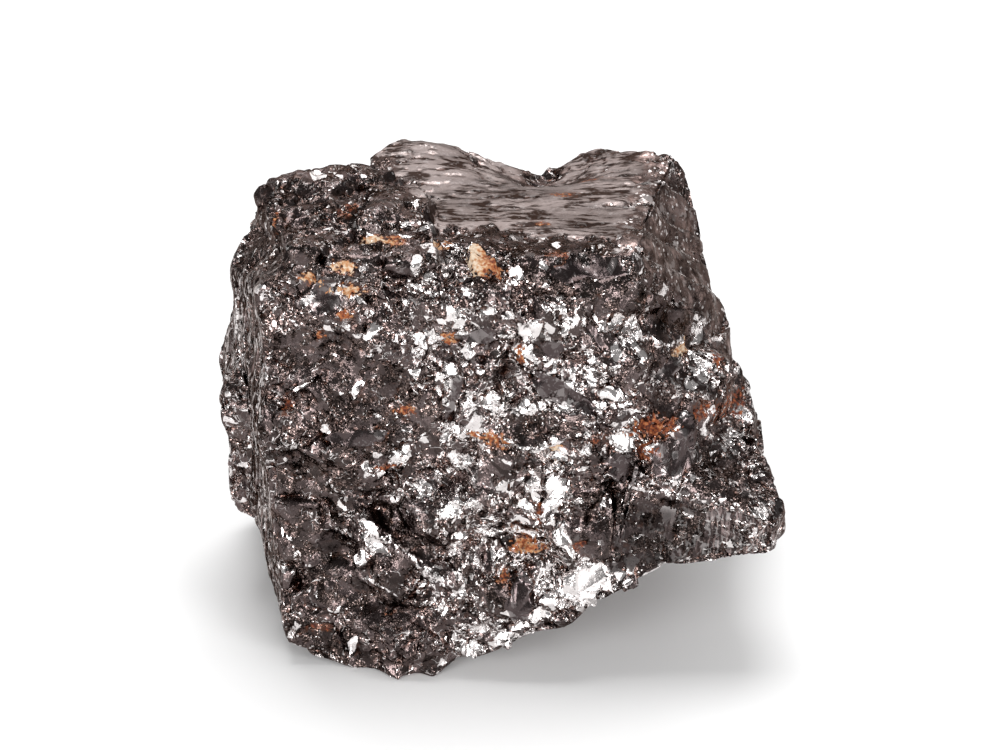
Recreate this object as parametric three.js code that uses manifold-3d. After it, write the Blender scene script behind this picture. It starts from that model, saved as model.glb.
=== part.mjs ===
// A rough block of elite shungite, one natural black stone with a glassy lustre.
//
// The stone is a union of four lumps. Each lump is the space inside a few flat
// fracture faces. The faces are then divided finely, and chips, ledges, hollows and
// a groove push their points towards the heart of the stone or away from it. Sizes
// are in millimetres, +Z is up, the front of the stone looks along -Y, and it rests
// on z = 0.

import * as THREE from 'three';
import startManifold from 'manifold-3d';
import { toCreasedNormals } from 'three/addons/utils/BufferGeometryUtils.js';

const solids = await startManifold();
solids.setup();

// ---- Driving dimensions -------------------------------------------------------

const BLANK = 120; // edge of the cube that each lump is cut from
const FACET = 1.4; // edge length of the fine triangles on the broken faces
const HEART = new THREE.Vector3(0, 0, 17); // middle of the stone, where the relief aims
const EDGE_WEAR = 0.5; // width over which the relief of two faces blends at their edge
const SHORTEST_EDGE = 0.02; // edges shorter than this are closed up after the base is cut
const CREASE = 32; // sharpest bend, in degrees, that is still shaded smooth

const LARGE_CHIP = 7.5; // size of the large fracture scoops
const LARGE_CHIP_DEPTH = 1.35;
const SMALL_CHIP = 3.6; // size of the small ones inside them
const SMALL_CHIP_DEPTH = 0.6;

// How deep the chips bite into a face: 1 is the full depth.
const SATIN = 0.12;
const CLEAVED = 0.3;
const BROKEN = 0.75;
const HACKLY = 1;

// ---- Small helpers ------------------------------------------------------------

const radians = THREE.MathUtils.degToRad;

// Unit vector towards an azimuth (from +X towards +Y) and an elevation (above the
// horizontal), in degrees.
function bearing(azimuth, elevation) {
  const flat = Math.cos(radians(elevation));
  return new THREE.Vector3(
    flat * Math.cos(radians(azimuth)),
    flat * Math.sin(radians(azimuth)),
    Math.sin(radians(elevation)),
  );
}

// A fracture face through a point, facing the given azimuth and elevation.
function face(x, y, z, azimuth, elevation, relief) {
  const normal = bearing(azimuth, elevation);
  const depth = new THREE.Vector3(x, y, z).dot(normal);
  return { normal, depth, relief };
}

// A repeatable number from 0 to 1 for a cell of space.
function scatter(x, y, z, salt) {
  const wave = Math.sin(x * 127.1 + y * 311.7 + z * 74.7 + salt * 53.3) * 43758.5453;
  return wave - Math.floor(wave);
}

// ---- The lumps, each the space inside a few fracture faces --------------------

const mainMass = [
  face(0, -5, 36.4, 90, 86.5, SATIN), // satin top, falling a little to the back
  face(6, -13, 34.8, -85, 52, CLEAVED), // worn bevel between top and front
  face(-6.7, -18.8, 2, -101, 8, HACKLY), // front, left of the foremost rib
  face(-3, -18.8, 6, -85, 9, HACKLY), // front, right of it
  face(12.8, -16.5, 17.5, -42, 12, HACKLY), // front right bevel
  face(17.6, -1.6, 27.8, -9, 31, CLEAVED), // steep right shoulder
  face(17.8, 6, 27, 20, 0, BROKEN), // right wall
  face(18.9, -10, 26, -4, 3, CLEAVED), // step in it, above the low block
  face(16, 11, 25, 45, 10, BROKEN), // back right corner
  face(10, 16.6, 20, 72, 6, BROKEN), // back, right half
  face(-5, 16, 20, 98, 9, BROKEN), // back, left half
  face(-14, 8, 36, 130, 8, BROKEN), // back left corner
  face(-24.2, 2, 24, -165, 0, CLEAVED), // left cleavage wall
  face(-24.8, 1, 29, 178, 13, CLEAVED), // upper part of the left wall
  face(-22.8, 1, 31.2, 178, 45, BROKEN), // bevel at the top of the left wall
  face(-18.6, -17, 4, -168, -12, CLEAVED), // left foot
  face(-13.8, 0, 0, 180, -69, SATIN), // underside, rising to the left
  face(5, -18, 5.8, -25, -58, CLEAVED), // underside, rising to the right
  face(0, 17, 4, 90, -45, BROKEN), // underside at the back
];

const lowBlock = [
  face(18, -17, 10, -92, -3, CLEAVED), // front of the low right block
  face(21.9, -5.5, 21, -50, 57, BROKEN), // its sloping top
  face(22.1, -12, 20.8, 8, 24, BROKEN), // steeper slope at its right end
  face(20.5, -2, 20.9, 40, 35, BROKEN), // where its top falls to the back
  face(23.7, -12, 15.5, 8, 9, BROKEN), // its right wall
  face(23.6, -16.6, 13, -36, -8, CLEAVED), // its worn front right edge
  face(19.7, -16, 11.4, -30, -79, CLEAVED), // its underside, well above the ground
  face(20, 6, 14, 90, 0, BROKEN), // where it runs into the back
  face(9.5, -17.5, 12, -170, 10, CLEAVED), // crack where it leaves the front
];

const backLobe = [
  face(-23.3, 2, 14, 174, 0, BROKEN), // outer side of the lobe on the left
  face(-24, 0, 19.5, 170, 55, BROKEN), // its top
  face(-22.6, -5, 12, -120, 0, BROKEN), // its front
  face(-23, 3, 8, 180, -78, CLEAVED), // its underside
  face(-21.5, 8.5, 14, 122, 5, BROKEN), // its back
  face(-8, 0, 14, 0, 0, BROKEN), // its end inside the main mass
];

const flakyCrest = [
  face(-13, -4, 37.7, 88, 87, BROKEN), // rough layer left standing on the satin top
  face(-6, -6, 37.2, 5, 30, CLEAVED), // its right edge
  face(-7.5, 2.3, 37.2, 35, 28, BROKEN), // its back right corner
  face(-12, 5, 36.8, 104, 20, BROKEN), // its back edge
  face(-20.3, 0, 36.5, -170, 8, BROKEN), // its left edge
  face(-6.7, -18.6, 2, -101, 8, HACKLY), // its front edge, in two parts
  face(-3, -18.6, 6, -85, 9, HACKLY),
  face(-12, -5, 32, 0, -90, BROKEN), // its foot inside the main mass
];

const lumps = [mainMass, lowBlock, backLobe, flakyCrest];

// The solid inside the faces of one lump.
function lumpSolid(faces) {
  const blank = solids.Manifold.cube([BLANK, BLANK, BLANK], true);
  return faces.reduce(
    (rest, side) => rest.trimByPlane(side.normal.clone().negate().toArray(), -side.depth),
    blank,
  );
}

// How strong the chips are at a point on the lumps, blended near their edges.
function reliefAt(point) {
  let total = 0;
  let blended = 0;
  for (const faces of lumps) {
    const gaps = faces.map((side) => side.normal.dot(point) - side.depth);
    if (Math.abs(Math.max(...gaps)) < EDGE_WEAR) {
      faces.forEach((side, i) => {
        const share = Math.exp(-Math.abs(gaps[i]) / EDGE_WEAR);
        total += share;
        blended += share * side.relief;
      });
    }
  }
  return blended / total;
}

// ---- Relief on the faces ------------------------------------------------------

// Scooped chips: each chip is a shallow bowl with its own tilt around a scattered
// site, and neighbouring bowls meet in a sharp ridge. The result is about -1 to 1.
function chips(point, size, salt) {
  const cell = point.clone().divideScalar(size).floor();
  let lowest = Infinity;
  for (let step = 0; step < 125; step += 1) {
    const x = cell.x + (step % 5) - 2;
    const y = cell.y + (Math.floor(step / 5) % 5) - 2;
    const z = cell.z + Math.floor(step / 25) - 2;
    const site = new THREE.Vector3(
      x + scatter(x, y, z, salt),
      y + scatter(x, y, z, salt + 1),
      z + scatter(x, y, z, salt + 2),
    );
    const away = point.clone().divideScalar(size).sub(site);
    const tilt = new THREE.Vector3(
      scatter(x, y, z, salt + 3) - 0.5,
      scatter(x, y, z, salt + 4) - 0.5,
      scatter(x, y, z, salt + 5) - 0.5,
    );
    const bowl = away.lengthSq() + 2 * tilt.dot(away) + 0.5 * scatter(x, y, z, salt + 6);
    lowest = Math.min(lowest, bowl);
  }
  return 2 * lowest - 0.6;
}

// Hollows and humps: oval patches pushed in (or out, with a negative depth).
const hollows = [
  { at: [3.5, 12, 35], radius: [5, 5, 4], depth: 3.2 }, // notch in the back edge
  { at: [16.2, -7.5, 27], radius: [3.4, 3.2, 2], depth: 2.2 }, // oval cavity, right
  { at: [-13.5, -18, 9.5], radius: [2.6, 3, 3.4], depth: 1.2 }, // round cavity, low left
  { at: [-9, -17, 26], radius: [7, 4, 6], depth: 0.9 }, // shallow scoop, upper left
  { at: [-15.5, -6, 37.5], radius: [3.5, 5, 3], depth: 1 }, // dip in the flaky crest
  { at: [-8, -18.5, 7], radius: [7, 4, 6], depth: -0.4 }, // belly above the foremost rib
  { at: [3, -16, 24], radius: [6, 4, 5], depth: -0.7 }, // swelling in mid front
  { at: [-7, 12, 36], radius: [4, 4, 3], depth: -1.2 }, // swelling at the back of the top
  { at: [-16, 3, 37], radius: [2.2, 3, 3], depth: -1.4 }, // peak of the flaky crest
  { at: [18.3, -3, 28.3], radius: [3, 4, 2.2], depth: -1.1 }, // ledge on the right shoulder
];

function hollowDepth(point) {
  let depth = 0;
  for (const hollow of hollows) {
    const x = (point.x - hollow.at[0]) / hollow.radius[0];
    const y = (point.y - hollow.at[1]) / hollow.radius[1];
    const z = (point.z - hollow.at[2]) / hollow.radius[2];
    depth += hollow.depth * Math.exp(-(x * x + y * y + z * z));
  }
  return depth;
}

// One diagonal groove across the lower left of the front.
const grooveLine = new THREE.Line3(
  new THREE.Vector3(-13, -17, 17.5),
  new THREE.Vector3(-6.5, -18, 10.5),
);
const GROOVE_WIDTH = 1.5;
const GROOVE_DEPTH = 1.4;

function grooveDepth(point) {
  const nearest = grooveLine.closestPointToPoint(point, true, new THREE.Vector3());
  const across = nearest.distanceTo(point) / GROOVE_WIDTH;
  return GROOVE_DEPTH * Math.exp(-across * across);
}

// ---- Building the stone -------------------------------------------------------

function broken(point) {
  const direction = point.clone().sub(HEART).normalize();
  const large = LARGE_CHIP_DEPTH * chips(point, LARGE_CHIP, 3);
  const small = SMALL_CHIP_DEPTH * chips(point, SMALL_CHIP, 17);
  const push = reliefAt(point) * (large + small) - hollowDepth(point) - grooveDepth(point);
  return point.clone().addScaledVector(direction, push);
}

function stoneGeometry() {
  const whole = solids.Manifold.union(lumps.map(lumpSolid));
  const fine = whole.refineToLength(FACET);
  const rough = fine.warp((corner) => {
    broken(new THREE.Vector3().fromArray(corner)).toArray(corner);
  });
  const cut = rough.trimByPlane([0, 0, 1], 0).simplify(SHORTEST_EDGE);
  const { vertProperties, triVerts } = cut.getMesh();
  const geometry = new THREE.BufferGeometry();
  geometry.setAttribute('position', new THREE.BufferAttribute(vertProperties, 3));
  geometry.setIndex(new THREE.BufferAttribute(triVerts, 1));
  geometry.computeBoundingBox();
  const middle = geometry.boundingBox.getCenter(new THREE.Vector3());
  geometry.translate(-middle.x, -middle.y, 0);
  return toCreasedNormals(geometry, radians(CREASE));
}

const shungiteBlack = new THREE.MeshStandardMaterial({
  color: 0x2a2526,
  roughness: 0.3,
  metalness: 0.1,
});

const stone = new THREE.Mesh(stoneGeometry(), shungiteBlack);
stone.name = 'shungite_stone';

const model = new THREE.Group();
model.add(stone);

export default model;
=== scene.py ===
import math

import bpy
import numpy as np
from bpy.props import FloatProperty, FloatVectorProperty, IntProperty, PointerProperty
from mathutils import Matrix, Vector


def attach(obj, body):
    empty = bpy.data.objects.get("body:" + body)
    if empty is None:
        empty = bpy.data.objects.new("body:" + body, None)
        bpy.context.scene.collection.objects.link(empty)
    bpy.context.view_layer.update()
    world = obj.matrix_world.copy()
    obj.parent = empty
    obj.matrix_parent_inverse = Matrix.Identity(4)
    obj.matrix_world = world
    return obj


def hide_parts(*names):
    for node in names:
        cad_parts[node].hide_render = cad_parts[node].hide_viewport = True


bl_info = {
    "name": "Rough Shungite Stone",
    "version": (1, 0, 0),
    "blender": (4, 5, 0),
    "location": "View3D > Sidebar > Shungite",
    "description": "Breaks the surface of a rough shungite stone and gives it its finish",
    "category": "Add Mesh",
}

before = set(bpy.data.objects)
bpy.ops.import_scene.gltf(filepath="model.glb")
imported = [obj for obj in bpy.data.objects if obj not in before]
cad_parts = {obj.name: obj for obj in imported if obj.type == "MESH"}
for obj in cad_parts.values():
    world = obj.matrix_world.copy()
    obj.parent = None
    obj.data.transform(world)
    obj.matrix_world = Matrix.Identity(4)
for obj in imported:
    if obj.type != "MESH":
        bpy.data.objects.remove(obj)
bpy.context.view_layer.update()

STONE_NODE = "shungite_stone"
MM = 0.001

# The place that the softboxes aim at, in metres.
STONE_MIDDLE = (0.0, 0.0, 0.018)

# Softboxes: name, place, width and height in metres, and the stage value for the power.
SOFTBOXES = (
    ("left softbox", (-0.45, -0.55, 0.25), 0.35, 0.35, "left_power"),
    ("right softbox", (0.5, -0.5, 0.25), 0.35, 0.35, "right_power"),
    ("top softbox", (0.0, 0.15, 0.65), 0.4, 0.3, "top_power"),
    ("back softbox", (0.0, 0.8, 0.45), 1.2, 0.6, "back_power"),
)

# The floor's roughness, the camera's sensor width (mm) and its nearest view (metres).
FLOOR_ROUGHNESS = 0.6
SENSOR_WIDTH = 36
CLIP_START = 0.01

# How the CAD stone is welded (metres) and how often each of its faces is divided.
WELD_REACH = 0.00001
DIVISIONS = 3

# A layer of relief is left out where its weight is less than this.
LEAST_WEIGHT = 0.01

# Share that is left of relief that would stand out too far.
HELD_BACK = 0.25

# The most that a place moves to lie flat in a facet (mm).
MOST_LIFT = 0.8

# Stands for a place that is nowhere near a flat patch, and for one far from a seam (mm).
WELL_OUTSIDE = 9.0
OUT_OF_REACH = 99.0

# Taken off the height of a scoop (a share of its size), so that its bowl is cut in.
SCOOP_LEVEL = 0.2

# The azimuth and elevation that the right shoulder faces (degrees), and the direction
# from one of its ledges to the next.
SHOULDER_FACING = (-9, 31)
LEDGES_FACING = (-0.226, 0.78, 0.586)

# Layers of flat plates on the smoother faces: kind of surface, depth (a share of the
# size), size (mm), stretch along X, Y and Z (less than 1 makes longer plates), shift
# (mm), tilt and step. The wall has upright ribs and the low block upright scratches.
SMOOTH_LAYERS = (
    ("satin", 0.3, 4.0, (0.4, 0.8, 1), 0.0, 0.25, 0.3),
    ("wall", 0.7, 1.1, (1, 1, 0.18), 0.0, 0.9, 0.3),
    ("wall", 0.6, 0.5, (1, 1, 0.12), 0.0, 0.9, 0.3),
    ("block", 0.3, 0.6, (1, 1, 0.3), 0.0, 0.9, 0.3),
    ("block", 0.2, 3.6, (1, 1, 1), 0.0, 0.9, 0.3),
    ("under", 0.4, 2.0, (1, 0.4, 1), 0.0, 0.9, 0.3),
    ("under", 0.5, 5.0, (1, 1, 1), 0.0, 0.9, 0.3),
)
SHOULDER_LAYERS = (("shoulder", 0.2, 1.5, (0.5, 1, 1), 0.0, 0.5, 0.3),)

# A drawn number from 0 to 1 times this is a turn in radians.
FULL_TURN = 6.28

# The scatter table holds random numbers for a block of cells, which repeats.
TABLE_CELLS = 48
TABLE_NUMBERS = 7
NEAR_CELLS = [(x, y, z) for x in (-1, 0, 1) for y in (-1, 0, 1) for z in (-1, 0, 1)]

# Flat cleavage facets: middle (mm), azimuth and elevation that they face (degrees),
# radius (mm), how much longer than wide, and the slant of the long side (degrees).
FACETS = [
    ((7.7, -11.4, 36.1), -80, 42, 1.35, 1.9, 0),
    ((5.5, -15.0, 26.0), -88, 14, 0.95, 3.4, -36),
    ((10.9, -16.2, 19.5), -80, 12, 1.0, 1.9, -8),
    ((15.4, -15.5, 20.7), -58, 12, 2.1, 1.2, 60),
    ((8.3, -13.8, 30.9), -75, 15, 0.4, 2.8, -62),
    ((4.7, -14.7, 30.1), -92, 8, 0.7, 1.6, -25),
    ((14.6, -11.9, 26.6), -55, 28, 0.8, 1.6, 20),
    ((-1.3, -14.0, 31.0), -93, 6, 0.6, 2.7, 4),
    ((-3.7, -14.7, 25.7), -82, 6, 0.7, 2.6, 82),
    ((-11.8, -15.1, 21.7), -90, 18, 0.75, 3.0, -2),
    ((-14.3, -12.8, 34.0), -95, 15, 1.2, 1.2, 0),
    ((2.0, -19.0, 7.9), -95, 12, 1.2, 1.6, 90),
    ((-12.2, 12.9, 25.5), 125, 15, 1.6, 1.6, 30),
    ((3.9, 13.9, 30.1), 103, 25, 1.3, 2.4, -20),
    ((12.0, 15.6, 18.4), 74, 6, 2.0, 1.5, 60),
    ((-3.3, 16.7, 12.5), 100, 16, 1.8, 1.8, 10),
    ((23.3, -1.6, 13.8), 10, 0, 1.4, 1.8, 70),
    ((17.4, 8.1, 21.8), 30, -2, 1.6, 2.0, -30),
]

# Azimuth and elevation (degrees) that a facet faces to flash in one of the front softboxes.
LIGHT_SIDES = [(-112, 26), (-110, 24), (-67, 27)]

# Small polished facets that flash: middle (mm), radius (mm), how much longer than wide,
# and the slant of the long side (degrees). They face the sides in LIGHT_SIDES in turn,
# and the material paints them bright as painted highlight.
FLASHES = [
    ((4.8, -17.5, 17.8), 0.7, 3.2, 74),
    ((5.9, -17.9, 13.3), 0.5, 2.8, 111),
    ((7.5, -18.5, 9.2), 1.8, 1.0, 0),
    ((10.3, -18.1, 9.2), 0.6, 2.6, 38),
    ((4.4, -19.0, 7.9), 0.5, 1.7, 10),
    ((3.7, -19.3, 6.5), 0.6, 1.5, 30),
    ((2.0, -19.0, 5.3), 0.5, 1.6, 30),
    ((0.3, -19.2, 3.9), 0.6, 1.5, 20),
    ((-1.9, -18.8, 2.9), 0.5, 1.5, 20),
    ((9.4, -15.8, 26.6), 0.6, 1.8, 10),
    ((10.4, -15.1, 25.0), 0.35, 3.2, 30),
    ((10.6, -15.6, 21.7), 0.75, 1.5, -10),
    ((-0.7, -14.8, 25.5), 0.55, 1.9, 5),
    ((2.4, -14.5, 25.0), 0.42, 1.0, 0),
    ((4.1, -14.7, 24.8), 0.5, 1.3, 90),
    ((5.8, -15.3, 24.9), 0.35, 2.0, -25),
    ((2.3, -17.1, 16.4), 0.5, 1.3, 0),
    ((3.9, -17.4, 15.3), 0.35, 1.7, 80),
    ((1.3, -17.0, 18.2), 0.25, 4.0, 45),
    ((-10.5, -13.4, 31.2), 0.65, 1.1, 60),
    ((-16.6, -13.9, 26.0), 0.22, 7.0, 22),
    ((-11.8, -14.0, 26.0), 0.35, 2.2, 60),
    ((-3.9, -13.8, 27.7), 0.6, 1.0, 0),
    ((-2.5, -14.4, 28.0), 0.5, 1.0, 0),
    ((-6.4, -13.5, 30.5), 0.5, 1.2, 90),
    ((-0.7, -13.8, 33.3), 0.35, 2.4, 0),
    ((-4.2, -14.5, 21.7), 0.35, 2.0, 40),
    ((-3.3, -15.1, 22.6), 0.35, 1.5, 30),
    ((-7.8, -14.3, 20.2), 0.5, 1.1, 0),
    ((-2.3, -15.1, 19.5), 0.5, 1.2, 0),
    ((-14.5, -14.6, 22.3), 0.35, 1.6, -10),
    ((-10.7, -16.3, 13.5), 0.5, 2.1, -30),
    ((-10.2, -16.7, 11.9), 0.5, 2.1, -35),
    ((-11.5, -16.8, 10.9), 0.5, 1.2, 90),
    ((-6.5, -17.8, 8.8), 0.4, 1.1, 0),
    ((-3.9, -16.8, 15.6), 0.65, 1.3, 20),
    ((-2.9, -17.0, 13.2), 0.28, 3.4, 20),
    ((-12.5, -17.8, 2.5), 0.4, 2.0, 70),
    ((4.6, -14.8, 28.6), 0.5, 1.4, -35),
    ((5.8, -14.7, 32.5), 0.45, 2.0, 70),
    ((2.4, -14.6, 31.7), 0.65, 1.1, -30),
    ((16.5, -11.4, 24.9), 0.5, 1.2, 0),
    ((3.9, -11.3, 36.3), 0.28, 2.0, -10),
    ((1.6, -11.9, 35.9), 0.6, 1.1, 0),
    ((4.6, -8.0, 36.6), 0.5, 2.2, 0),
]

# Seams where plates meet: half width (mm), rise (mm, less than 0 for a crack) and
# the points (mm) that the seam runs through. A raised seam gets painted highlight beads,
# and a crack gets painted shade.
SEAMS = [
    (
        0.18,
        0.4,
        [
            (9.7, -16.6, 19.0),
            (12.1, -17.4, 18.3),
            (15.0, -17.3, 17.1),
            (20.3, -16.8, 16.3),
            (23.9, -14.9, 15.7),
        ],
    ),
    (0.3, 0.5, [(-11.3, -16.3, 13.9), (-10.3, -16.4, 13.0), (-7.0, -16.7, 10.8), (-4.9, -17.6, 8.9)]),
    (0.15, 0.4, [(-17.4, -14.5, 14.4), (-16.1, -14.8, 12.9), (-13.5, -15.1, 12.5), (-11.9, -16.4, 12.3)]),
    (0.12, 0.3, [(-11.9, -16.4, 12.3), (-11.7, -16.0, 11.0), (-12.2, -15.8, 9.9)]),
    (0.12, 0.3, [(-14.4, -15.1, 17.8), (-13.9, -14.9, 16.7), (-12.9, -15.0, 16.2)]),
    (0.15, 0.4, [(-11.7, -16.3, 8.6), (-9.1, -18.0, 8.0), (-7.5, -18.6, 6.5), (-8.0, -18.8, 5.7)]),
    (0.12, 0.3, [(-18.1, -15.8, 6.5), (-14.4, -16.2, 7.1)]),
    (
        0.2,
        0.4,
        [
            (-2.8, -15.2, 22.3),
            (-1.6, -15.4, 24.2),
            (0.3, -15.0, 24.6),
            (2.8, -14.8, 24.7),
            (5.6, -15.3, 24.4),
        ],
    ),
    (0.2, 0.3, [(-1.2, -15.6, 22.8), (0.7, -16.2, 21.7), (4.1, -16.7, 21.2), (8.7, -16.4, 21.4)]),
    (0.12, 0.3, [(-18.2, -12.6, 30.8), (-16.5, -12.9, 31.8), (-14.4, -13.1, 31.1), (-13.6, -13.2, 29.6)]),
    (0.12, 0.3, [(-8.9, -12.7, 33.6), (-8.3, -13.1, 31.1), (-7.7, -13.7, 28.5), (-6.4, -14.3, 26.0)]),
    (0.2, 0.3, [(12.1, -12.6, 30.1), (14.3, -11.4, 28.7), (16.3, -9.0, 27.5), (17.5, -6.3, 26.5)]),
    (0.12, -0.4, [(10.2, -16.8, 17.4), (10.4, -17.2, 14.9), (10.2, -17.5, 12.2)]),
    (0.2, 0.4, [(-12.2, 12.9, 25.5), (-5.0, 13.8, 24.0), (2.0, 15.0, 22.5), (9.0, 15.5, 24.0)]),
    (0.2, 0.4, [(23.3, -1.6, 13.8), (20.5, 3.0, 15.0), (19.0, 8.0, 17.0)]),
]

# Hollows in the break: middle (mm), half widths (mm) and depth (mm). The material also
# darkens them with painted shade.
HOLLOWS = [
    ((-13.9, -15.8, 10.1), (2.3, 2.5, 2.0), 0.8),
    ((14.8, -10.7, 30.9), (2.6, 2.5, 1.6), 1.2),
    ((-16.0, -17.1, 2.6), (1.4, 2.0, 1.0), 0.2),
    ((2.6, -15.3, 23.2), (2.6, 2.0, 0.8), 0.35),
    ((14.3, -13.9, 24.3), (1.6, 2.0, 1.2), 0.55),
    ((19.6, -13.6, 18.6), (1.8, 2.0, 1.4), 0.6),
    ((-10.9, -15.5, 14.9), (1.2, 2.0, 1.2), 0.7),
    ((-9.8, -15.9, 13.9), (1.3, 2.0, 1.3), 0.75),
    ((-8.3, -16.4, 12.5), (1.3, 2.0, 1.2), 0.75),
    ((-6.9, -17.0, 11.2), (1.2, 2.0, 1.1), 0.6),
    ((-8.6, -13.9, 26.7), (1.8, 2.0, 1.9), 0.6),
    ((-12.9, -13.3, 29.3), (1.6, 2.0, 2.2), 0.7),
    ((-16.4, -14.0, 18.2), (2.2, 2.0, 1.4), 0.6),
    ((-9.5, -17.9, 6.6), (2.6, 2.0, 1.2), 0.7),
    ((-12.0, -9.0, 37.3), (1.4, 1.0, 1.2), 0.8),
    ((-17.5, -7.0, 37.0), (1.2, 1.6, 1.2), 0.8),
    ((-10.6, -17.3, 7.0), (3.0, 2.0, 1.2), 0.5),
]

# Quiet dark places with only fine grain and few painted glints: middle (mm) and radius (mm).
# Many lie in the hollows, where their darker colour is painted shade.
QUIET = [
    ((-12.7, -13.3, 29.3), 2.6),
    ((-12.5, -14.1, 25.2), 2.4),
    ((-6.2, -14.1, 24.0), 1.9),
    ((-20.5, -12.5, 21.8), 3.0),
    ((-21.0, -8.5, 17.5), 3.0),
    ((-18.5, -14.9, 11.8), 3.2),
    ((11.2, -14.8, 27.4), 1.6),
    ((-13.0, -17.8, 1.2), 2.4),
    ((-14.2, -16.2, 7.6), 2.8),
    ((-9.0, -13.9, 26.4), 1.9),
    ((-16.6, -12.8, 29.0), 2.2),
    ((-10.3, -14.7, 21.6), 2.8),
    ((-16.8, -14.3, 18.1), 2.8),
    ((-13.0, -15.0, 16.5), 2.2),
    ((-9.5, -15.9, 13.9), 2.2),
    ((-7.0, -16.8, 11.4), 2.0),
    ((-13.9, -15.3, 10.1), 2.5),
    ((-10.2, -17.6, 6.8), 3.4),
    ((-16.7, -17.1, 1.8), 3.2),
    ((2.6, -15.3, 23.2), 2.2),
    ((0.6, -16.9, 20.0), 2.0),
    ((1.2, -18.9, 7.8), 2.2),
    ((8.8, -17.7, 14.2), 3.2),
    ((14.3, -13.9, 24.3), 1.8),
    ((19.6, -13.6, 18.2), 2.4),
    ((14.8, -10.7, 30.9), 2.6),
    ((12.5, -12.0, 33.5), 2.2),
    ((9.4, -12.2, 34.6), 2.4),
    ((6.2, -11.8, 35.2), 2.0),
    ((3.4, -11.4, 35.6), 1.6),
    ((16.4, -8.2, 29.6), 1.8),
    ((14.0, -17.2, 12.8), 4.5),
]

# Where the break gets the most painted glints, bright flakes in its colour: middle (mm),
# radius (mm) and strength.
GLITTER = [
    ((2.0, -14.3, 30.0), 4.0, 0.5),
    ((-4.0, -10.2, 36.8), 3.0, 0.8),
    ((-5.5, -12.6, 35.2), 2.6, 0.7),
    ((-14.2, -12.6, 34.8), 3.0, 0.6),
    ((5.2, -14.6, 31.6), 2.2, 0.6),
    ((11.6, -12.8, 30.2), 2.4, 0.8),
    ((-5.2, -13.6, 28.6), 3.2, 0.8),
    ((1.4, -14.6, 25.4), 2.6, 1.0),
    ((4.0, -16.8, 21.2), 2.2, 0.8),
    ((-9.5, -15.1, 19.4), 2.4, 0.55),
    ((-8.6, -15.4, 15.4), 2.0, 0.5),
    ((-0.8, -16.8, 13.4), 3.8, 1.0),
    ((-2.7, -16.4, 15.8), 2.6, 0.9),
    ((20.8, -10.8, 18.6), 2.6, 0.8),
    ((16.9, -14.0, 19.8), 1.6, 0.7),
    ((-3.2, -15.4, 17.8), 2.2, 1.0),
    ((-2.6, -14.8, 22.2), 1.8, 1.0),
    ((14.9, -12.6, 25.6), 1.8, 0.8),
    ((17.4, -9.6, 26.4), 2.0, 0.9),
    ((-0.7, -9.8, 36.6), 2.4, 0.8),
    ((21.4, -6.2, 21.8), 2.0, 0.8),
    ((7.0, -15.0, 27.0), 5.0, 0.36),
    ((10.6, -15.4, 23.8), 2.4, 0.6),
    ((-1.5, -15.0, 24.6), 2.6, 1.0),
    ((-2.0, -15.6, 18.8), 3.0, 0.9),
    ((-5.0, -15.8, 16.5), 2.8, 0.8),
    ((8.0, -14.5, 31.5), 3.6, 0.3),
    ((4.0, -17.0, 16.5), 2.8, 0.9),
    ((4.5, -17.5, 10.5), 3.5, 0.9),
    ((6.5, -18.5, 9.5), 3.5, 1.0),
    ((1.5, -19.0, 5.0), 3.0, 0.75),
    ((-2.5, -18.5, 3.0), 3.0, 0.6),
    ((-4.5, -18.0, 8.5), 3.0, 0.7),
    ((-12.5, -12.5, 33.0), 4.5, 0.4),
    ((-10.0, -16.6, 12.4), 1.6, 0.8),
    ((-12.6, -15.2, 15.4), 1.6, 0.8),
    ((22.0, -15.5, 13.5), 3.2, 1.0),
    ((18.6, -12.5, 17.5), 2.4, 0.5),
    ((10.0, -18.2, 9.5), 2.0, 1.0),
    ((7.0, 4.0, 35.5), 1.2, 0.6),
    ((-3.0, -13.0, 33.0), 3.0, 0.5),
    ((13.5, 2.5, 35.8), 3.0, 0.45),
    ((-8.5, -6.5, 38.0), 3.0, 0.4),
    ((-12.0, -1.5, 38.0), 3.0, 0.5),
    ((18.6, -5.4, 26.2), 3.0, 1.0),
    ((-23.2, -1.4, 24.0), 4.0, 0.7),
    ((-2.0, 16.0, 18.0), 4.0, 0.6),
    ((10.0, 15.0, 29.0), 3.5, 0.6),
    ((4.0, 17.5, 8.0), 3.5, 0.7),
    ((20.0, -3.0, 20.0), 3.5, 0.6),
    ((21.0, 7.0, 6.0), 3.5, 0.6),
]

# Where the break is browner, with few painted glints (bright flakes): middle (mm) and
# radius (mm).
MUTED = [
    ((-12.0, -16.0, 12.0), 7.5),
    ((-11.0, -17.5, 4.5), 7.0),
    ((-14.5, -13.5, 27.5), 5.5),
    ((-13.5, -14.5, 21.5), 4.0),
    ((-10.0, -12.5, 33.0), 2.6),
    ((10.0, -17.5, 13.5), 4.5),
    ((0.8, -16.4, 21.0), 2.0),
    ((2.0, -19.0, 8.0), 2.6),
    ((6.0, 16.0, 22.0), 6.0),
    ((-10.0, 14.5, 22.0), 6.5),
    ((12.0, 16.0, 9.0), 6.0),
    ((-12.0, 13.5, 8.0), 5.5),
    ((22.0, 3.0, 12.0), 6.5),
    ((17.0, 9.0, 22.0), 5.5),
    ((-22.0, 2.0, 14.0), 6.0),
]

# The ochre chunk on the front edge: middle (mm), direction faced, radius (mm), how much
# longer than wide, and slant (degrees).
CHUNK = ((-1.3, -10.9, 36.5), (0.0, -0.73, 0.68), 0.8, 2.5, -55)

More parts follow.
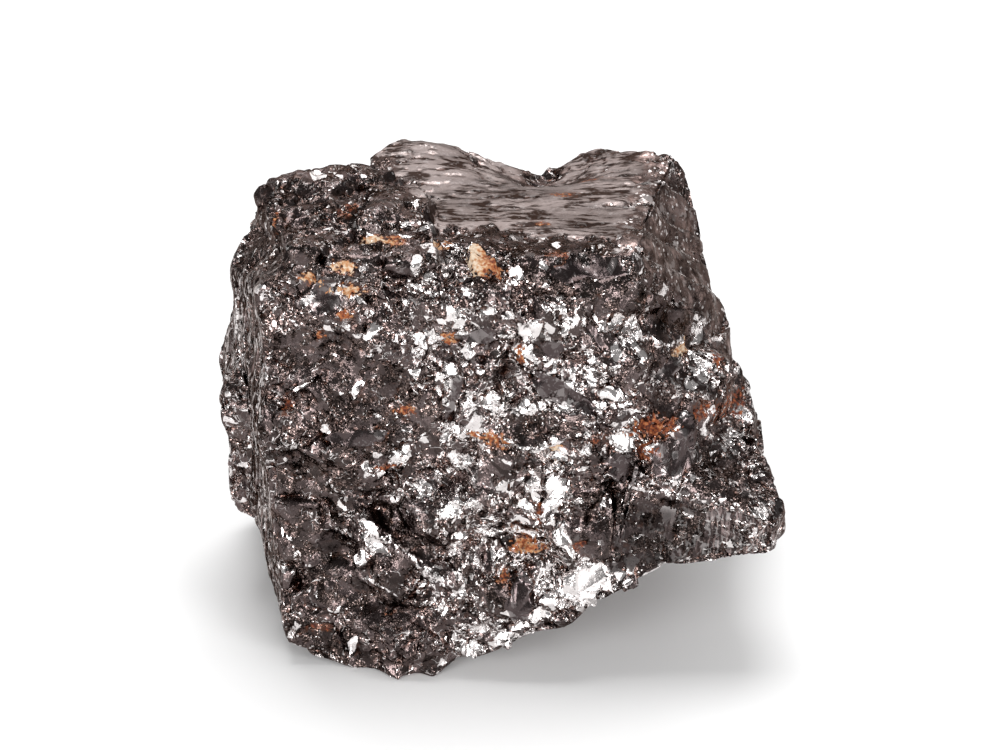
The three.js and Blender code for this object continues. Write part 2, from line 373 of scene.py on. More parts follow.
# Crusts: middle (mm), half widths (mm), strength and shade. Shade 0 is cream, 0.5 is
# orange and 1 is rust red.
CRUSTS = [
    ((-5.2, -8.9, 36.7), (0.6, 0.9, 0.9), 0.8, 0.2),
    ((-4.2, -8.5, 37.0), (0.5, 0.5, 0.6), 0.7, 0.5),
    ((-10.3, -9.0, 37.4), (1.2, 0.6, 0.7), 0.8, 0.2),
    ((-8.4, -9.0, 37.3), (0.9, 0.6, 0.7), 0.7, 0.5),
    ((7.6, 6.9, 35.0), (1.5, 0.5, 1.0), 0.8, 0.75),
    ((5.8, 2.6, 35.8), (1.0, 0.4, 1.0), 0.7, 0.7),
    ((3.7, -3.6, 36.4), (0.5, 0.5, 1.0), 0.6, 0.6),
    ((5.1, -10.3, 36.7), (0.9, 0.5, 0.6), 0.45, 0.8),
    ((-19.0, -4.6, 37.1), (0.6, 1.4, 1.4), 0.8, 0.6),
    ((-12.9, -4.9, 38.4), (1.2, 0.8, 0.8), 0.6, 0.9),
    ((-12.8, -11.8, 36.5), (1.2, 0.8, 0.6), 0.8, 0.25),
    ((-15.5, -11.9, 35.6), (0.9, 0.8, 0.6), 0.7, 0.4),
    ((-12.3, -12.2, 34.6), (1.4, 0.8, 0.6), 0.7, 0.3),
    ((-12.7, -13.2, 32.6), (0.8, 0.8, 0.4), 0.8, 0.6),
    ((-14.9, -13.3, 30.6), (0.5, 0.8, 0.5), 0.7, 0.6),
    ((-17.8, -14.0, 24.4), (0.5, 0.8, 0.8), 0.7, 0.8),
    ((-7.8, -13.8, 23.8), (0.9, 0.8, 0.5), 0.7, 0.6),
    ((-4.0, -13.6, 30.6), (0.6, 0.8, 0.7), 0.7, 0.5),
    ((2.0, -14.2, 29.4), (0.4, 0.8, 1.0), 0.7, 0.6),
    ((-9.5, -15.0, 18.8), (1.2, 0.8, 0.3), 0.7, 0.8),
    ((-1.2, -15.6, 22.4), (1.5, 0.8, 0.35), 0.75, 0.5),
    ((0.2, -15.9, 21.8), (1.0, 0.8, 0.35), 0.7, 0.55),
    ((5.0, -16.7, 21.7), (0.7, 0.8, 0.4), 0.7, 0.2),
    ((2.6, -17.2, 12.2), (1.6, 0.9, 0.7), 0.85, 0.5),
    ((0.7, -18.2, 9.8), (0.8, 0.8, 0.7), 0.7, 0.65),
    ((3.6, -17.6, 15.8), (0.35, 0.8, 1.0), 0.75, 0.8),
    ((6.8, -18.0, 13.0), (0.8, 0.8, 0.5), 0.6, 0.75),
    ((8.6, -16.4, 22.3), (1.0, 0.8, 0.3), 0.6, 0.9),
    ((13.4, -14.8, 22.7), (2.4, 1.2, 0.9), 0.7, 0.7),
    ((13.0, -15.8, 20.9), (1.3, 0.9, 0.8), 0.65, 0.75),
    ((19.5, -9.6, 21.8), (1.8, 1.8, 1.2), 0.58, 0.72),
    ((21.0, -7.4, 20.8), (1.0, 1.6, 1.1), 0.56, 0.78),
    ((17.3, -11.4, 22.4), (1.1, 1.2, 0.8), 0.55, 0.8),
    ((15.6, -9.3, 27.3), (1.8, 1.2, 0.6), 0.8, 0.2),
    ((19.0, -8.6, 25.6), (0.6, 1.0, 0.8), 0.8, 0.8),
    ((-15.5, -17.0, 3.5), (1.2, 0.8, 0.3), 0.7, 0.9),
    ((-4.5, -6.0, 2.0), (3.0, 3.0, 1.5), 0.6, 0.6),
    ((9.0, 13.0, 28.0), (2.0, 2.0, 1.5), 0.7, 0.6),
    ((-6.0, 15.0, 20.0), (1.5, 2.0, 2.5), 0.7, 0.8),
    ((15.0, 12.0, 12.0), (2.0, 2.0, 1.5), 0.7, 0.5),
]


# ---- Values that a user would change ----


def length(name, description, millimetres):
    """A length property with its default in millimetres."""
    return FloatProperty(
        name=name,
        description=description,
        default=millimetres * MM,
        min=0.0,
        precision=6,
        subtype="DISTANCE",
        unit="LENGTH",
    )


def share(name, description, default):
    """A property between 0 and 1."""
    return FloatProperty(name=name, description=description, default=default, min=0.0, max=1.0)


def colour(name, description, default):
    """A colour property."""
    return FloatVectorProperty(
        name=name, description=description, default=default, min=0.0, max=1.0, size=3, subtype="COLOR"
    )


def power(name, description, default):
    """The power of one light."""
    return FloatProperty(name=name, description=description, default=default, min=0.0, unit="POWER")


def angle(name, description, degrees):
    """An angle property with its default in degrees."""
    return FloatProperty(
        name=name, description=description, default=math.radians(degrees), subtype="ANGLE", unit="ROTATION"
    )


class ShungiteSurface(bpy.types.PropertyGroup):
    """Sizes of the broken surface"""

    seed: IntProperty(name="Seed", description="Number that the break is drawn from", default=11, min=0)
    triangles: IntProperty(
        name="Triangles", description="Triangles in the finished stone", default=190000, min=1000
    )
    edge_angle: angle("Sharp Edges", "Edges that turn more than this stay sharp", 22)
    standing: length("Standing Relief", "Relief that stands out more than this is held back", 0.12)
    scoop_size: length("Scoops", "Width of the scooped chips", 4.0)
    block_size: length("Large Plates", "Width of the largest flat plates", 6.0)
    plate_size: length("Plates", "Width of the middling flat plates", 3.0)
    chip_size: length("Chips", "Width of the small flat chips", 1.6)
    grit_size: length("Grit", "Width of the smallest flat chips", 0.8)
    pit_depth: length("Satin Pits", "Depth of the long pits in the satin top", 0.12)
    ledge_height: length("Shoulder Ledges", "Height of the slanting ledges on the right shoulder", 1.2)
    ledge_width: length("Ledge Spacing", "Distance from one shoulder ledge to the next", 3.4)
    chunk_rise: length("Ochre Chunk", "How far the ochre chunk stands up at least", 0.5)


class ShungiteFinish(bpy.types.PropertyGroup):
    """Colours and grain of the finish"""

    dark_black: colour("Dark Black", "Darker flakes of the break", (0.06, 0.0435, 0.04))
    light_black: colour("Light Black", "Lighter flakes of the break", (0.18, 0.132, 0.122))
    deep_black: colour("Deep Black", "Splinters between the flakes", (0.022, 0.016, 0.0145))
    # Darker colour of the quiet places; in the hollows among them this is painted shade.
    quiet_black: colour("Quiet Black", "Quiet dark places", (0.05, 0.0375, 0.034))
    dark_flat: colour("Dark Flats", "Darker flat chips", (0.045, 0.035, 0.033))
    light_flat: colour("Light Flats", "Lighter flat chips", (0.12, 0.092, 0.09))
    facet: colour("Facets", "Large flat cleavage facets", (0.085, 0.066, 0.066))
    # The satin top: the dark dashes are painted shade of its long pits, and the pale ground is painted
    # sheen.
    satin_pit_shade: colour("Dark Satin", "Dark dashes on the satin top", (0.035, 0.025, 0.0225))
    satin_sheen: colour("Light Satin", "Ground of the satin top", (0.27, 0.228, 0.219))
    # Colour of the painted glints (bright flakes, splinters, flashes, beads and highlights on rims and
    # seams), and of the pale scratches.
    glint_and_scratch: colour("Shine", "Bright flakes and splinters", (0.85, 0.8, 0.79))
    # Painted shade inside a crack.
    crack: colour("Crack", "Inside of a crack", (0.01, 0.006, 0.005))
    stain: colour("Stain", "Thin rust stain round the crusts", (0.14, 0.05, 0.024))
    cream: colour("Cream", "Palest crust", (0.62, 0.5, 0.38))
    ochre: colour("Ochre", "Ochre crust", (0.46, 0.24, 0.115))
    orange: colour("Orange", "Orange rust", (0.3, 0.085, 0.026))
    rust: colour("Rust", "Red rust", (0.15, 0.036, 0.016))
    dark_rust: colour("Dark Rust", "Darkest rust", (0.045, 0.013, 0.01))
    grazing: colour("Grazing Tint", "How bright the black shines at a grazing angle", (0.55, 0.5, 0.48))
    grain_size: length("Grain", "Width of the finest grain", 0.09)
    splinter_size: length("Splinters", "Width of the bright splinters", 0.13)
    flake_size: length("Flakes", "Width of the flakes", 0.5)
    shard_size: length("Shards", "Width of the longer shards", 0.7)
    flat_size: length("Flats", "Width of the flat chips", 1.5)
    patch_size: length("Patches", "Width of a patch that splinters one way", 2.2)
    glassy_roughness: share("Glassy Roughness", "Roughness of the glassy break", 0.16)
    satin_roughness: share("Satin Roughness", "Roughness of the satin top", 0.32)
    crust_roughness: share("Crust Roughness", "Roughness that a crust adds", 0.5)


class ShungiteStage(bpy.types.PropertyGroup):
    """Floor, lights and camera"""

    floor_width: length("Floor", "Width of the floor", 6000.0)
    dark_floor: colour("Dark Floor", "Darker patches of the floor", (0.84, 0.84, 0.84))
    light_floor: colour("Light Floor", "Lighter patches of the floor", (0.87, 0.87, 0.87))
    room: share("Room Light", "Brightness of the white room", 0.25)
    left_power: power("Left Softbox", "Power of the left softbox", 3.6)
    right_power: power("Right Softbox", "Power of the right softbox", 3.4)
    top_power: power("Top Softbox", "Power of the top softbox", 3.0)
    back_power: power("Back Softbox", "Power of the back softbox", 4.0)
    lens: FloatProperty(
        name="Lens", description="Focal length of the camera", default=129.6, min=1.0, unit="CAMERA"
    )
    camera_place: FloatVectorProperty(
        name="Camera Place",
        description="Where the camera stands",
        default=(0.0003, -0.2772, 0.178),
        precision=4,
        size=3,
        subtype="TRANSLATION",
        unit="LENGTH",
    )
    camera_tilt: angle("Camera Tilt", "How far the camera is raised from looking straight down", 60.2)


# ---- Fracture relief ----


def scatter_table(seed):
    """A repeatable block of random numbers that the relief is drawn from."""
    shape = (TABLE_CELLS, TABLE_CELLS, TABLE_CELLS, TABLE_NUMBERS)
    return np.random.default_rng(seed).random(shape, dtype=np.float32)


def near_sites(points, size, table):
    """For each nearby cell, the way from its site to each point and the numbers drawn."""
    grid = (points / size).astype(np.float32)
    cell = np.floor(grid).astype(np.int32)
    for offset in NEAR_CELLS:
        site_cell = cell + np.array(offset, dtype=np.int32)
        wrapped = site_cell % TABLE_CELLS
        drawn = table[wrapped[:, 0], wrapped[:, 1], wrapped[:, 2]]
        yield grid - site_cell - drawn[:, 0:3], drawn


def scoops(points, size, table, bowl=0.7, tilt=1.2, step=0.3):
    """Scooped chips of about the given size, parted by sharp ridges, as a push in mm."""
    lowest = np.full(len(points), np.inf, dtype=np.float32)
    for away, drawn in near_sites(points, size, table):
        height = bowl * (away * away).sum(1)
        height += tilt * ((drawn[:, 3:6] - 0.5) * away).sum(1)
        height += step * drawn[:, 6]
        np.minimum(lowest, height, out=lowest)
    return size * (lowest - SCOOP_LEVEL)


def plates(points, size, table, tilt=0.9, step=0.3, bevel=0.1):
    """Flat plates of about the given size, each tipped its own way, as a push in mm."""
    nearest = np.full(len(points), np.inf, dtype=np.float32)
    second = nearest.copy()
    nearest_height = np.zeros(len(points), dtype=np.float32)
    second_height = nearest_height.copy()
    for away, drawn in near_sites(points, size, table):
        distance = (away * away).sum(1)
        height = tilt * ((drawn[:, 3:6] - 0.5) * away).sum(1) + step * (drawn[:, 6] - 0.5)
        closer = distance < nearest
        between = ~closer & (distance < second)
        second = np.where(closer, nearest, np.where(between, distance, second))
        second_height = np.where(closer, nearest_height, np.where(between, height, second_height))
        nearest = np.where(closer, distance, nearest)
        nearest_height = np.where(closer, height, nearest_height)
    inner = 0.5 + 0.5 * np.clip((np.sqrt(second) - np.sqrt(nearest)) / bevel, 0, 1)
    return size * (second_height + (nearest_height - second_height) * inner)


def soft_noise(points, size, table, column=0):
    """Smooth noise from 0 to 1 with bumps of about the given size."""
    grid = points / size
    cell = np.floor(grid).astype(np.int32)
    part = grid - cell
    part = part * part * (3 - 2 * part)
    total = np.zeros(len(points))
    for x in (0, 1):
        for y in (0, 1):
            for z in (0, 1):
                corner = (cell + np.array((x, y, z), dtype=np.int32)) % TABLE_CELLS
                weight = np.abs(1 - x - part[:, 0])
                weight = weight * np.abs(1 - y - part[:, 1])
                weight = weight * np.abs(1 - z - part[:, 2])
                total += weight * table[corner[:, 0], corner[:, 1], corner[:, 2], column]
    return total


def ramp(value, low, high):
    """0 below low, 1 above high, and smooth between."""
    part = np.clip((value - low) / (high - low), 0, 1)
    return part * part * (3 - 2 * part)


def bearing(azimuth, elevation):
    """Unit vector towards an azimuth from +X to +Y and an elevation, in degrees."""
    turn = math.radians(azimuth)
    rise = math.radians(elevation)
    flat = math.cos(rise)
    return np.array((flat * math.cos(turn), flat * math.sin(turn), math.sin(rise)))


# ---- Mesh helpers ----


def mesh_arrays(mesh):
    """Vertex places (mm) and normals of a mesh, as arrays."""
    count = len(mesh.vertices)
    places = np.empty(count * 3, dtype=np.float32)
    normals = np.empty(count * 3, dtype=np.float32)
    mesh.vertices.foreach_get("co", places)
    mesh.vertices.foreach_get("normal", normals)
    return places.reshape(-1, 3).astype(np.float64) / MM, normals.reshape(-1, 3).astype(np.float64)


def set_places(mesh, places):
    """Moves the vertices of a mesh to the given places in millimetres."""
    mesh.vertices.foreach_set("co", (places * MM).astype(np.float32).ravel())
    mesh.update()


def with_modifier(stone, kind, **settings):
    """Adds one modifier, makes it part of the mesh, and leaves none on the object."""
    modifier = stone.modifiers.new(kind.title(), kind)
    for name, value in settings.items():
        setattr(modifier, name, value)
    evaluated = stone.evaluated_get(bpy.context.evaluated_depsgraph_get())
    finished = bpy.data.meshes.new_from_object(evaluated)
    stone.modifiers.clear()
    old = stone.data
    stone.data = finished
    bpy.data.meshes.remove(old)


def set_attribute(mesh, name, values):
    """Stores one number for each vertex, for the material to read."""
    attribute = mesh.attributes.new(name, "FLOAT", "POINT")
    attribute.data.foreach_set("value", values.astype(np.float32))


def ridges(mesh, places, normals):
    """How far each vertex stands proud of its neighbours, as a slope."""
    count = len(places)
    ends = np.empty(len(mesh.edges) * 2, dtype=np.int32)
    mesh.edges.foreach_get("vertices", ends)
    first, last = ends.reshape(-1, 2).T
    total = np.zeros((count, 3))
    for here, there in ((first, last), (last, first)):
        for axis in range(3):
            total[:, axis] += np.bincount(here, places[there, axis], count)
    shared = np.bincount(ends, minlength=count)
    middle = total / shared[:, None]
    length = np.linalg.norm(places[first] - places[last], axis=1)
    reach = np.bincount(first, length, count) + np.bincount(last, length, count)
    return ((places - middle) * normals).sum(1) / (reach / shared)


# ---- The stone ----


def blank_stone():
    """A welded, finely divided copy of the CAD stone."""
    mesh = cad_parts[STONE_NODE].data.copy()
    stone = bpy.data.objects.new("stone", mesh)
    bpy.context.scene.collection.objects.link(stone)
    with_modifier(stone, "WELD", merge_threshold=WELD_REACH)
    with_modifier(stone, "SUBSURF", levels=DIVISIONS, render_levels=DIVISIONS)
    return stone


def blob(places, middle, widths):
    """1 in the middle of an egg shape, falling smoothly to nothing outside."""
    away = (places - np.array(middle)) / np.array(widths)
    return np.exp(-(away * away).sum(1))


def disc(places, middle, radius, core, rim):
    """1 within a share of the radius, the core, and nothing beyond another, the rim."""
    away = np.linalg.norm(places - np.array(middle), axis=1)
    return 1 - ramp(away, core * radius, rim * radius)


def warped(places, size, reach, table):
    """The places, each shifted a little by noise of the given size."""
    shift = np.stack([soft_noise(places, size, table, column) - 0.5 for column in (0, 1, 2)], axis=1)
    return places + reach * shift


def outline(places, normals, middle, facing, radius, longer, slant):
    """Distance from the middle of a flat patch over the distance of its jagged rim."""
    facing = np.array(facing)
    side = np.cross((0.0, 0.0, 1.0), facing)
    side /= np.linalg.norm(side)
    rise = np.cross(facing, side)
    tip = math.radians(slant)
    along = math.cos(tip) * side + math.sin(tip) * rise
    across = np.cross(facing, along)
    away = places - np.array(middle)
    u = away @ along / (radius * longer)
    v = away @ across / radius
    turn = np.arctan2(v, u)
    # The middle and the radius also serve as phases, so that no two rims are alike.
    rim = 1 + 0.2 * np.sin(2 * turn + middle[0]) + 0.16 * np.sin(3 * turn + 7 * radius)
    rim += 0.1 * np.sin(7 * turn + middle[2])
    beyond = (normals @ facing < 0.5) | (np.abs(away @ facing) > 1.2 * radius + 0.4)
    return np.where(beyond, WELL_OUTSIDE, np.hypot(u, v) / rim)


def region_weights(places, normals):
    """How much of each kind of surface a place has, each from 0 to 1."""
    x, y, z = places.T
    ragged = 1.2 * np.sin(1.3 * y) + 0.7 * np.sin(3.1 * y + 1)
    satin_side = ramp(x + 0.3 * y + 0.5 * ragged, -7.6, -6.4)
    strip = ramp(x - 0.15 * y + 0.4 * ragged, 10.9, 12.3)
    border = 2.2 * ramp(x, 0.5, 3.5) - 0.6 + 0.5 * np.sin(2.1 * x) + 0.3 * np.sin(5.3 * x)
    front = 1 - ramp(y + border, -5.7, -4.7)
    up = normals[:, 2]
    top = ramp(up, 0.8, 0.95) * ramp(z, 32.5, 34.0)
    slope = ramp(normals @ bearing(*SHOULDER_FACING), 0.86, 0.95) * ramp(z, 20, 24)
    return {
        "satin": top * satin_side * (1 - strip) * (1 - front),
        "front": top * satin_side * (1 - strip) * front,
        "wall": ramp(-normals[:, 0], 0.72, 0.9) * (1 - ramp(z, 32, 34)),
        "under": ramp(-up, 0.6, 0.85),
        "shoulder": np.maximum(slope, top * strip),
        "block": ramp(-normals[:, 1], 0.8, 0.95) * ramp(x, 8, 10) * (1 - ramp(z, 15, 18)),
        "crest": ramp(z, 34.5, 36) * (1 - satin_side),
    }


def seam_reach(places, points):
    """Distance (mm) from each place to the nearest point of a run of straight lines."""
    nearest = np.full(len(places), OUT_OF_REACH)
    for first, last in zip(points, points[1:]):
        first = np.array(first)
        run = np.array(last) - first
        share = np.clip(((places - first) @ run) / (run @ run), 0, 1)
        away = places - first - share[:, None] * run
        nearest = np.minimum(nearest, np.linalg.norm(away, axis=1))
    return nearest


def quiet_places(places):
    """How quiet and dark a place is, from 0 to 1."""
    quiet = np.zeros(len(places))
    for middle, radius in QUIET:
        quiet = np.maximum(quiet, blob(places, middle, (radius, radius, radius)))
    return ramp(quiet, 0.3, 0.6)


def break_layers(surface):
    """The layers of flat plates on the hackly faces and the crest, as in SMOOTH_LAYERS."""
    even = (1, 1, 1)
    return (
        ("hackly", 0.3, surface.block_size / MM, even, 20.0, 0.8, 0.2),
        ("patchy", 0.6, surface.plate_size / MM, even, 11.1, 0.9, 0.3),
        ("patchy", 0.45, surface.chip_size / MM, (1, 1, 1.4), 5.6, 0.9, 0.3),
        ("patchy", 0.28, surface.grit_size / MM, even, 3.0, 0.9, 0.3),
        ("crest", 0.6, 3.2, (1, 1, 1.6), -0.6, 0.9, 0.6),
    )


def lay(push, kinds, layers, bent, table):
    """Adds layers of flat plates to the push, each where its kind of surface is."""
    for kind, weight, size, stretch, shift, tilt, step in layers:
        for part in kinds[kind]:
            weight = weight * part
        here = weight > LEAST_WEIGHT
        push[here] += weight[here] * plates(bent[here] * stretch + shift, size, table, tilt, step)


def satin_pits(places, bent, table):
    """Where the long shallow pits of the satin top lie, from 0 to 1."""
    pits = soft_noise(places * (0.3, 1, 1), 0.5, table, 4)
    pits += 0.5 * soft_noise(places * (0.4, 1, 1), 0.25, table, 5)
    pits += 0.5 * soft_noise(bent, 2.4, table, 5)
    return ramp(pits, 1.1, 1.3)


def shoulder_ledges(places, shoulder, table, surface):
    """Slanting ledges of the right shoulder, as a push in mm."""
    across = places @ np.array(LEDGES_FACING) + 3.6 * soft_noise(places, 7.0, table, 5)
    across += 1.2 * soft_noise(places, 2.6, table, 2)
    saw = (across / (surface.ledge_width / MM)) % 1.0
    height = surface.ledge_height / MM * (0.35 + 0.9 * soft_noise(places, 4.5, table, 6))
    return shoulder * height * (saw - 0.6)


def push_stone(places, normals, table, surface):
    """How far each place moves out along its normal, in millimetres."""
    part = region_weights(places, normals)
    bent = warped(places, 2.6, 1.0, table)
    calm = part["satin"] + part["wall"] + part["under"] + part["shoulder"] + part["block"]
    hackly = (1 - np.clip(calm, 0, 1)) * (1 - 0.55 * quiet_places(places))
    patchy = 0.5 + 0.8 * soft_noise(places, 5.0, table, 3)
    kinds = {name: (weight,) for name, weight in part.items()}
    kinds.update(hackly=(hackly,), patchy=(hackly, patchy))
    push = np.zeros(len(places))
    for middle, widths, depth in HOLLOWS:
        push -= depth * blob(bent, middle, widths)
    for width, rise, points in SEAMS:
        push += rise * np.exp(-((seam_reach(bent, points) / (2.5 * width)) ** 2))
    scooped = 0.3 * hackly
    here = scooped > LEAST_WEIGHT
    push[here] += scooped[here] * scoops(bent[here] + 9.0, surface.scoop_size / MM, table)
    lay(push, kinds, break_layers(surface), bent, table)
    push -= part["satin"] * surface.pit_depth / MM * satin_pits(places, bent, table)
    lay(push, kinds, SMOOTH_LAYERS, bent, table)
    push += shoulder_ledges(places, part["shoulder"], table, surface)
    lay(push, kinds, SHOULDER_LAYERS, bent, table)
    # Chips are cut into the stone, so what would stand out is held back.
    standing = surface.standing / MM
    return np.where(push > standing, standing + HELD_BACK * (push - standing), push)


def flat_patches():
    """Each flat facet and flash: middle, direction faced, radius, length and slant."""
    for middle, azimuth, elevation, radius, longer, slant in FACETS:
        yield middle, bearing(azimuth, elevation), radius, longer, slant
    for number, (middle, radius, longer, slant) in enumerate(FLASHES):
        yield middle, bearing(*LIGHT_SIDES[number % len(LIGHT_SIDES)]), radius, longer, slant


def flatten_facets(places, normals):
    """Lays the stone flat inside the outline of each facet and flash."""
    for patch in flat_patches():
        middle, facing = patch[:2]
        inside = outline(places, normals, *patch) < 1
        lift = -((places - np.array(middle)) @ facing) / np.maximum(normals @ facing, 0.5)
        places[inside] += (normals * np.clip(lift, -MOST_LIFT, MOST_LIFT)[:, None])[inside]
    return places


def break_surface(stone, surface):
    """Breaks the fine stone surface into plates and scoops of every size."""
    places, normals = mesh_arrays(stone.data)
    table = scatter_table(surface.seed)
    push = push_stone(places, normals, table, surface)
    # The relief fades out towards the ground, so that the stone rests on a flat foot.
    ground = ramp(places[:, 2], 0.05, 1.2)
    places = places + normals * (push * ground)[:, None]
    places = flatten_facets(places, normals)
    # The ochre chunk stands a little proud, and is rough.
    proud = (1 - ramp(outline(places, normals, *CHUNK), 0.85, 1.1)) * surface.chunk_rise / MM
    proud *= 1 + 1.2 * soft_noise(places, 0.7, table, 1)
    places += normals * proud[:, None]
    places[:, 2] = np.maximum(places[:, 2], 0)
    set_places(stone.data, places)


def crust_marks(places, normals):
    """Where the crusts lie, and the shade of each from cream to rust."""
    crust = np.zeros(len(places))
    shade = np.full(len(places), 0.5)
    for middle, widths, strength, crust_shade in CRUSTS:
        away = (places - np.array(middle)) / np.array(widths)
        here = strength * np.clip(1 - 0.5 * (away * away).sum(1), 0, 1)
        shade = np.where(here > crust, crust_shade, shade)
        crust = np.maximum(crust, here)
    chunk = 1 - ramp(outline(places, normals, *CHUNK), 0.9, 1.2)
    shade = np.where(chunk > crust, 0.05 + 0.5 * ramp(places[:, 0], -2.0, -0.6), shade)
    return {"crust": np.maximum(crust, 1.3 * chunk), "crust_shade": shade}


def region_marks(places, normals, table):
    """How satin, smooth, quiet, dim and upright in its grain each place is."""
    part = region_weights(places, normals)
    worn_under = part["under"] * ramp(soft_noise(places, 5.0, table, 1), 0.35, 0.65)
    worn_end = ramp(places[:, 0], 13, 20)
    smooth = part["satin"] + 0.25 * part["wall"] + 0.6 * part["shoulder"] + 0.5 * part["under"]
    smooth += 0.4 * worn_under
    dark = 0.2 * part["wall"] + 0.45 * part["shoulder"] + 0.72 * part["crest"] + 0.5 * part["front"]
    dark += part["block"] * (1 - 0.4 * worn_end)
    dim = 0.16 * part["crest"] + 0.72 * part["wall"] + 0.5 * part["front"]
    lens = blob(places, FACETS[0][0], (3.0, 1.8, 1.8))
    dim += 0.55 * part["block"] * (1 - 0.7 * worn_end) + 0.4 * lens
    upright = part["wall"] + (0.05 + 0.3 * worn_end) * part["block"]
    marks = {"satin": part["satin"] + 0.7 * worn_under, "smooth": smooth, "dim": dim, "upright": upright}
    marks = {name: np.clip(values, 0, 1) for name, values in marks.items()}
    return {**marks, "quiet": np.maximum(quiet_places(places), np.clip(dark, 0, 1))}


def glitter_marks(places):
    """Where the break gets painted glints, less than 0 where it is muted, and how deep the hollows are, for
    the painted shade in them.
    """
    glitter = np.zeros(len(places))
    muted = np.zeros(len(places))
    hollow = np.zeros(len(places))
    for middle, radius, strength in GLITTER:
        glitter = np.maximum(glitter, strength * disc(places, middle, radius, 0.4, 1.2))
    for middle, radius in MUTED:
        muted = np.maximum(muted, disc(places, middle, radius, 0.5, 1.1))
    for middle, widths, depth in HOLLOWS:
        hollow = np.maximum(hollow, depth * blob(places, middle, widths))
    return {"glitter": glitter - 0.5 * muted * (1 - glitter), "hollow": np.clip(hollow, 0, 1)}


def seam_marks(places, table):
    """Where the seams run: more than 0 along a raised seam, which gets painted highlight beads, and less
    than 0 along a crack, which gets painted shade.
    """
    bent = warped(places, 1.3, 0.9, table)
    seam = np.zeros(len(places))
    for width, rise, points in SEAMS:
        here = 1 - np.minimum(seam_reach(bent, points) / (3 * width), 1)
        seam = np.where(here > np.abs(seam), here * np.sign(rise), seam)
    return {"seam": seam}


def flat_marks(places, normals):
    """Where the calm flat facets and the flashing ones lie."""
    marks = {"flat": np.zeros(len(places)), "flash": np.zeros(len(places))}
    for number, patch in enumerate(flat_patches()):
        name = "flat" if number < len(FACETS) else "flash"
        inside = 1 - ramp(outline(places, normals, *patch), 0.7, 1.3)
        marks[name] = np.maximum(marks[name], inside)
    return marks


def mark_surface(mesh, surface):
    """Stores what the material needs to know about each place."""
    places, normals = mesh_arrays(mesh)
    table = scatter_table(surface.seed)
    for marks in (
        crust_marks(places, normals),
        region_marks(places, normals, table),
        glitter_marks(places),
        {"ridge": ridges(mesh, places, normals)},
        seam_marks(places, table),
        flat_marks(places, normals),
    ):
        for name, values in marks.items():
            set_attribute(mesh, name, values)


def build_stone(surface, finish):
    """The finished stone, which rides on the root and stands for the CAD stone."""
    stone = blank_stone()
    break_surface(stone, surface)
    # Every face of the divided stone is a quad, which is two triangles.
    triangles = 2 * len(stone.data.polygons)
    with_modifier(stone, "DECIMATE", ratio=surface.triangles / triangles)
    mesh = stone.data
    mesh.shade_smooth()
    mesh.set_sharp_from_angle(angle=surface.edge_angle)
    mark_surface(mesh, surface)
    mesh.materials.clear()
    mesh.materials.append(shungite_material(finish))
    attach(stone, "root")
    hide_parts(STONE_NODE)
    return stone


# ---- Materials ----


def tone(colour_value):
    """A colour property as the four numbers that a socket takes."""
    return (*colour_value, 1.0)


class Term:
    """One output of a node. Numbers are added, subtracted and multiplied with signs."""

    def __init__(self, recipe, socket):
        self.recipe = recipe
        self.socket = socket

    def __add__(self, other):
        return self.recipe.maths("ADD", self, other)

    def __sub__(self, other):
        return self.recipe.maths("SUBTRACT", self, other)

    def __rsub__(self, other):
        return self.recipe.maths("SUBTRACT", other, self)

    def __mul__(self, other):
        return self.recipe.maths("MULTIPLY", self, other)

    def ramp(self, low, high, low_out=0.0, high_out=1.0):
        """low_out below low, high_out above high, and smooth between."""
        ends = {"From Min": low, "From Max": high, "To Min": low_out, "To Max": high_out}
        return self.recipe.node(
            "ShaderNodeMapRange", "Result", {"Value": self, **ends}, interpolation_type="SMOOTHSTEP"
        )

    def moved(self, by):
        """This place with another added to it."""
        return self.recipe.vector("ADD", {0: self, 1: by})

    def stretched(self, x, y, z):
        """This place times a number for each axis: less than 1 makes marks longer there."""
        return self.recipe.vector("MULTIPLY", {0: self, 1: (x, y, z)})

    def scaled(self, scale):
        """This place or colour times one number."""
        return self.recipe.vector("SCALE", {0: self, "Scale": scale})

    def lean(self, reach):
        """A random way to lean or shift, drawn from this colour."""
        return self.recipe.vector("SUBTRACT", {0: self, 1: (0.5, 0.5, 0.5)}).scaled(reach)

    def turned(self, draw):
        """This place turned as a drawn colour says."""
        feeds = {"Vector": self, "Rotation": draw.scaled(FULL_TURN)}
        return self.recipe.node("ShaderNodeVectorRotate", "Vector", feeds, rotation_type="EULER_XYZ")

    def noise(self, size, detail=2.0, output="Fac"):
        """Noise at this place, with bumps of about the given size."""
        feeds = {"Vector": self, "Scale": 1 / size, "Detail": detail}
        return self.recipe.node("ShaderNodeTexNoise", output, feeds)

    def swing(self, size, detail, reach):
        """Noise that goes half the reach to each side of nothing."""
        return (self.noise(size, detail) - 0.5) * reach

    def wobble(self, size, detail, reach):
        """A random shift that changes smoothly from place to place."""
        return self.noise(size, detail, "Color").lean(reach)

    def cells(self, size, output="Color", feature="F1"):
        """Cells of the given size round this place, with a random colour each."""
        feeds = {"Vector": self, "Scale": 1 / size}
        return self.recipe.node("ShaderNodeTexVoronoi", output, feeds, feature=feature)

    def rims(self, size):
        """How far this place is from the rim of its cell."""
        return self.cells(size, "Distance", "DISTANCE_TO_EDGE")

    def parts(self):
        """The red, green and blue of this colour: three random numbers of a cell."""
        red = self.recipe.node("ShaderNodeSeparateColor", "Red", {"Color": self})
        return {part.name: Term(self.recipe, part) for part in red.socket.node.outputs}


